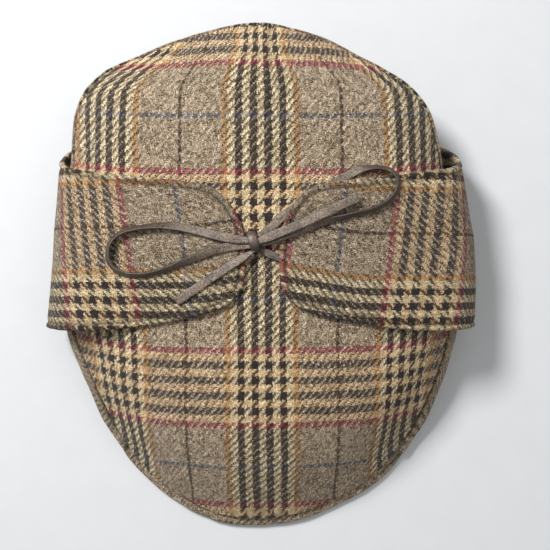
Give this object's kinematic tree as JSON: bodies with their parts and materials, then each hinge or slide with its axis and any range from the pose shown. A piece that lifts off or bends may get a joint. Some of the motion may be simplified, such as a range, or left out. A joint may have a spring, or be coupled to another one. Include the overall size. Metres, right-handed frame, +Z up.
{
  "type": "tweed ear-flap cap",
  "caption": "Tweed cap with a front peak and two ear flaps turned up and tied over the crown with a flat leather lace.",
  "frame": {"origin": "middle of the cap's outline seen from above, without the lace, at table height", "axes": "+Y to the back of the head, -Y over the peak, +Z up, +X to the picture's right"},
  "size_m": [0.2327, 0.2769, 0.0712],
  "materials": {
    "top_tweed": "matt wool tweed",
    "side_panel_left_tweed": "matt wool tweed",
    "side_panel_right_tweed": "matt wool tweed",
    "peak_tweed": "matt wool tweed",
    "ear_flap_left_tweed": "matt wool tweed",
    "ear_flap_right_tweed": "matt wool tweed",
    "lace_leather": "pebbled, slight sheen"
  },
  "bodies": {
    "root": {"top_panel": "top_tweed", "side_panel_left": "side_panel_left_tweed", "side_panel_right": "side_panel_right_tweed", "peak": "peak_tweed", "ear_flap_left": "ear_flap_left_tweed", "ear_flap_right": "ear_flap_right_tweed", "lace_knot": "lace_leather", "lace_loop_left": "lace_leather", "lace_loop_right": "lace_leather", "lace_tail_left": "lace_leather", "lace_tail_right": "lace_leather", "lace_root_left": "lace_leather", "lace_root_right": "lace_leather"}
  },
  "joints": []
}
